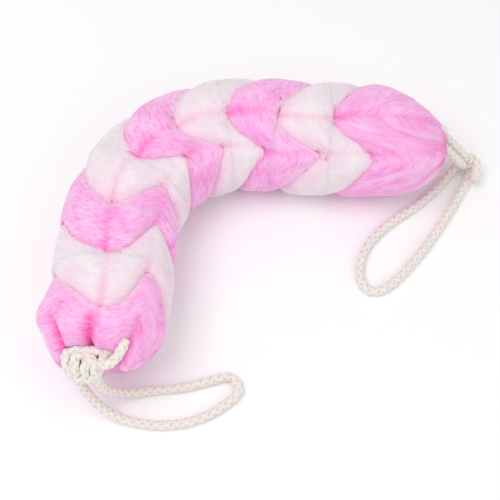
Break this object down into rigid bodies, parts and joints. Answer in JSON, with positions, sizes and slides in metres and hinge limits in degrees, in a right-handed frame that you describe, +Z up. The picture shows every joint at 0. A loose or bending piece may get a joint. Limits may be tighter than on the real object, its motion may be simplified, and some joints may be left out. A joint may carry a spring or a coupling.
{
  "type": "loofah back scrubber",
  "caption": "Back scrubber strap: a chain of gathered net loops in two colours, each folded through the last, with a braided rope handle knotted on at each end.",
  "frame": {"origin": "on the table, under the middle of the strap with its knots, the handles left out", "axes": "+Z up from the table, +X along the longer side of the curve that the strap lies in, from the near end towards the far end"},
  "size_m": [0.3333, 0.2669, 0.089],
  "materials": {
    "net_pink": "gathered plastic net, satin, slightly translucent",
    "net_white": "gathered plastic net, satin, slightly translucent",
    "rope_cotton": "braided cotton rope, matt",
    "tie_thread": "wound white thread"
  },
  "bodies": {
    "strap_loop_1": {"net_loop_1": "net_pink", "loop_tie_1": "tie_thread", "near_cinch": "rope_cotton", "near_tail": "rope_cotton"},
    "strap_loop_2": {"net_loop_2": "net_white", "loop_tie_2": "tie_thread"},
    "strap_loop_3": {"net_loop_3": "net_pink", "loop_tie_3": "tie_thread"},
    "strap_loop_4": {"net_loop_4": "net_white", "loop_tie_4": "tie_thread"},
    "strap_loop_5": {"net_loop_5": "net_pink", "loop_tie_5": "tie_thread"},
    "strap_loop_6": {"net_loop_6": "net_white", "loop_tie_6": "tie_thread"},
    "strap_loop_7": {"net_loop_7": "net_pink", "loop_tie_7": "tie_thread"},
    "strap_loop_8": {"net_loop_8": "net_white", "loop_tie_8": "tie_thread"},
    "strap_loop_9": {"net_loop_9": "net_pink", "loop_tie_9": "tie_thread"},
    "near_knot": {"near_knot": "rope_cotton"},
    "near_handle": {"near_handle": "rope_cotton"},
    "far_neck": {"far_neck": "rope_cotton", "far_knot": "rope_cotton"},
    "far_handle": {"far_handle": "rope_cotton", "far_tail": "rope_cotton"}
  },
  "joints": [
    {"name": "curl_1_2", "type": "hinge", "parent": "strap_loop_2", "child": "strap_loop_1", "pos_m": [-0.12258, -0.06028, 0.0445], "axis": [0, 0, 1], "range_deg": [-3, 17]},
    {"name": "curl_2_3", "type": "hinge", "parent": "strap_loop_3", "child": "strap_loop_2", "pos_m": [-0.12115, -0.01931, 0.0445], "axis": [0, 0, 1], "range_deg": [-16, 14]},
    {"name": "curl_3_4", "type": "hinge", "parent": "strap_loop_4", "child": "strap_loop_3", "pos_m": [-0.11544, 0.02129, 0.0445], "axis": [0, 0, 1], "range_deg": [-31, 7]},
    {"name": "curl_4_5", "type": "hinge", "parent": "strap_loop_5", "child": "strap_loop_4", "pos_m": [-0.09556, 0.05715, 0.0445], "axis": [0, 0, 1], "range_deg": [-36, 2]},
    {"name": "curl_5_6", "type": "hinge", "parent": "strap_loop_5", "child": "strap_loop_6", "pos_m": [-0.06198, 0.08067, 0.0445], "axis": [0, 0, -1], "range_deg": [-34, 4]},
    {"name": "curl_6_7", "type": "hinge", "parent": "strap_loop_6", "child": "strap_loop_7", "pos_m": [-0.02173, 0.08849, 0.0445], "axis": [0, 0, -1], "range_deg": [-26, 12]},
    {"name": "curl_7_8", "type": "hinge", "parent": "strap_loop_7", "child": "strap_loop_8", "pos_m": [0.01911, 0.08492, 0.0445], "axis": [0, 0, -1], "range_deg": [-8, 14]},
    {"name": "curl_8_9", "type": "hinge", "parent": "strap_loop_8", "child": "strap_loop_9", "pos_m": [0.06006, 0.08277, 0.0445], "axis": [0, 0, -1], "range_deg": [-6, 14]},
    {"name": "near_knot_turn", "type": "hinge", "parent": "strap_loop_1", "child": "near_knot", "pos_m": [-0.13562, -0.11704, 0.0615], "axis": [0, 0, -1], "range_deg": [-3, 25]},
    {"name": "near_handle_lift", "type": "hinge", "parent": "near_knot", "child": "near_handle", "pos_m": [-0.13562, -0.11704, 0.0615], "axis": [0, -1, 0], "range_deg": [0, 55]},
    {"name": "far_neck_swing", "type": "hinge", "parent": "strap_loop_9", "child": "far_neck", "pos_m": [0.12545, 0.08391, 0.0445], "axis": [0, 0, 1], "range_deg": [-8, 25]},
    {"name": "far_handle_swing", "type": "hinge", "parent": "far_neck", "child": "far_handle", "pos_m": [0.15534, 0.09044, 0.0095], "axis": [0, 0, 1], "range_deg": [-5, 60]}
  ]
}
